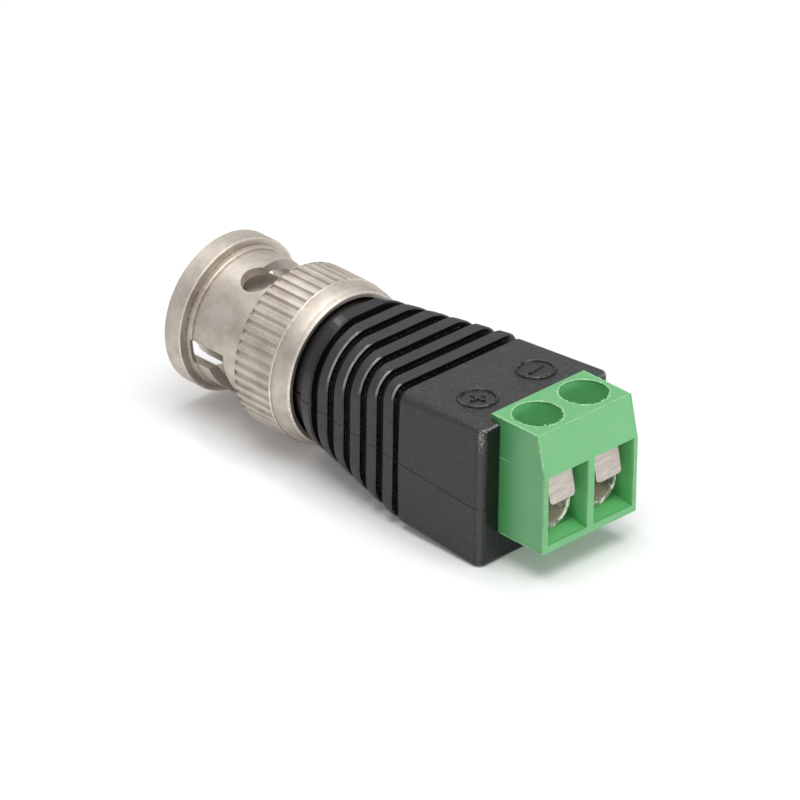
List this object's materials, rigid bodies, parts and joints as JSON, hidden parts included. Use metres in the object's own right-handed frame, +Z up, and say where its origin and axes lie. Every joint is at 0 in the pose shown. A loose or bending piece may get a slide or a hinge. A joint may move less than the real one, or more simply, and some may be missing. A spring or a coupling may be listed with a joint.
{
  "type": "bayonet coaxial plug to screw terminal adapter",
  "caption": "Coaxial bayonet plug with a ribbed moulded body and a two-pole screw terminal for bare wires.",
  "frame": {"origin": "middle of the outer contact's front rim, on the plug's axis", "axes": "+X along the plug's axis towards the wire openings, +Z up through the screwdriver holes, so the plug mates towards -X"},
  "size_m": [0.0412, 0.0142, 0.0138],
  "materials": {
    "nickel_nut": "satin nickel plate over brass",
    "nickel_body": "nickel plate over brass",
    "spring_steel": "plain rolled",
    "white_insulator": "turned, waxy",
    "gold_pin": "thin gold plate",
    "gasket_rubber": "matt",
    "black_moulding": "spark textured, glossy at the neck",
    "green_plastic": "satin",
    "tinned_brass": "bright tin plate",
    "guard_steel": "dull rolled",
    "screw_steel": "zinc plate",
    "copper": "bare copper, tinned at the ends",
    "sleeve_plastic": "satin"
  },
  "bodies": {
    "plug": {"plug_body": "nickel_body", "outer_contact": "nickel_body", "insulator": "white_insulator", "centre_pin": "gold_pin", "gasket": "gasket_rubber", "wave_washer": "spring_steel", "retaining_ring": "spring_steel", "body_housing": "black_moulding", "terminal_housing": "green_plastic", "contact_plus": "tinned_brass", "contact_minus": "tinned_brass", "signal_wire": "copper", "signal_sleeve": "sleeve_plastic", "ground_wire": "copper"},
    "nut_carrier": {"thrust_washer": "spring_steel"},
    "nut": {"coupling_nut": "nickel_nut"},
    "guard_plus": {"wire_guard_plus": "guard_steel"},
    "guard_minus": {"wire_guard_minus": "guard_steel"},
    "clamp_screw_plus": {"screw_plus": "screw_steel"},
    "clamp_screw_minus": {"screw_minus": "screw_steel"}
  },
  "joints": [
    {"name": "nut_pull", "type": "slide", "parent": "plug", "child": "nut_carrier", "axis": [-1, 0, 0], "range_m": [0, 0.0008], "stiffness_N_per_m": 400, "springref_m": -0.003, "deforming": ["wave_washer"]},
    {"name": "nut_turn", "type": "hinge", "parent": "nut_carrier", "child": "nut", "pos_m": [0, 0, 0], "axis": [1, 0, 0], "continuous": true},
    {"name": "guard_plus_slide", "type": "slide", "parent": "plug", "child": "guard_plus", "axis": [0, 0, -1], "range_m": [-0.0013, 0.0009]},
    {"name": "screw_plus_turn", "type": "hinge", "parent": "guard_plus", "child": "clamp_screw_plus", "pos_m": [0.037, -0.00254, 0], "axis": [0, 0, -1], "range_deg": [-1040.1, 720.1]},
    {"name": "guard_minus_slide", "type": "slide", "parent": "plug", "child": "guard_minus", "axis": [0, 0, -1], "range_m": [-0.0013, 0.0009]},
    {"name": "screw_minus_turn", "type": "hinge", "parent": "guard_minus", "child": "clamp_screw_minus", "pos_m": [0.037, 0.00254, 0], "axis": [0, 0, -1], "range_deg": [-1040.1, 720.1]}
  ],
  "couplings": [
    {"joint": "screw_plus_turn", "follows": "guard_plus_slide", "rad_per_m": 13963},
    {"joint": "screw_minus_turn", "follows": "guard_minus_slide", "rad_per_m": 13963}
  ]
}
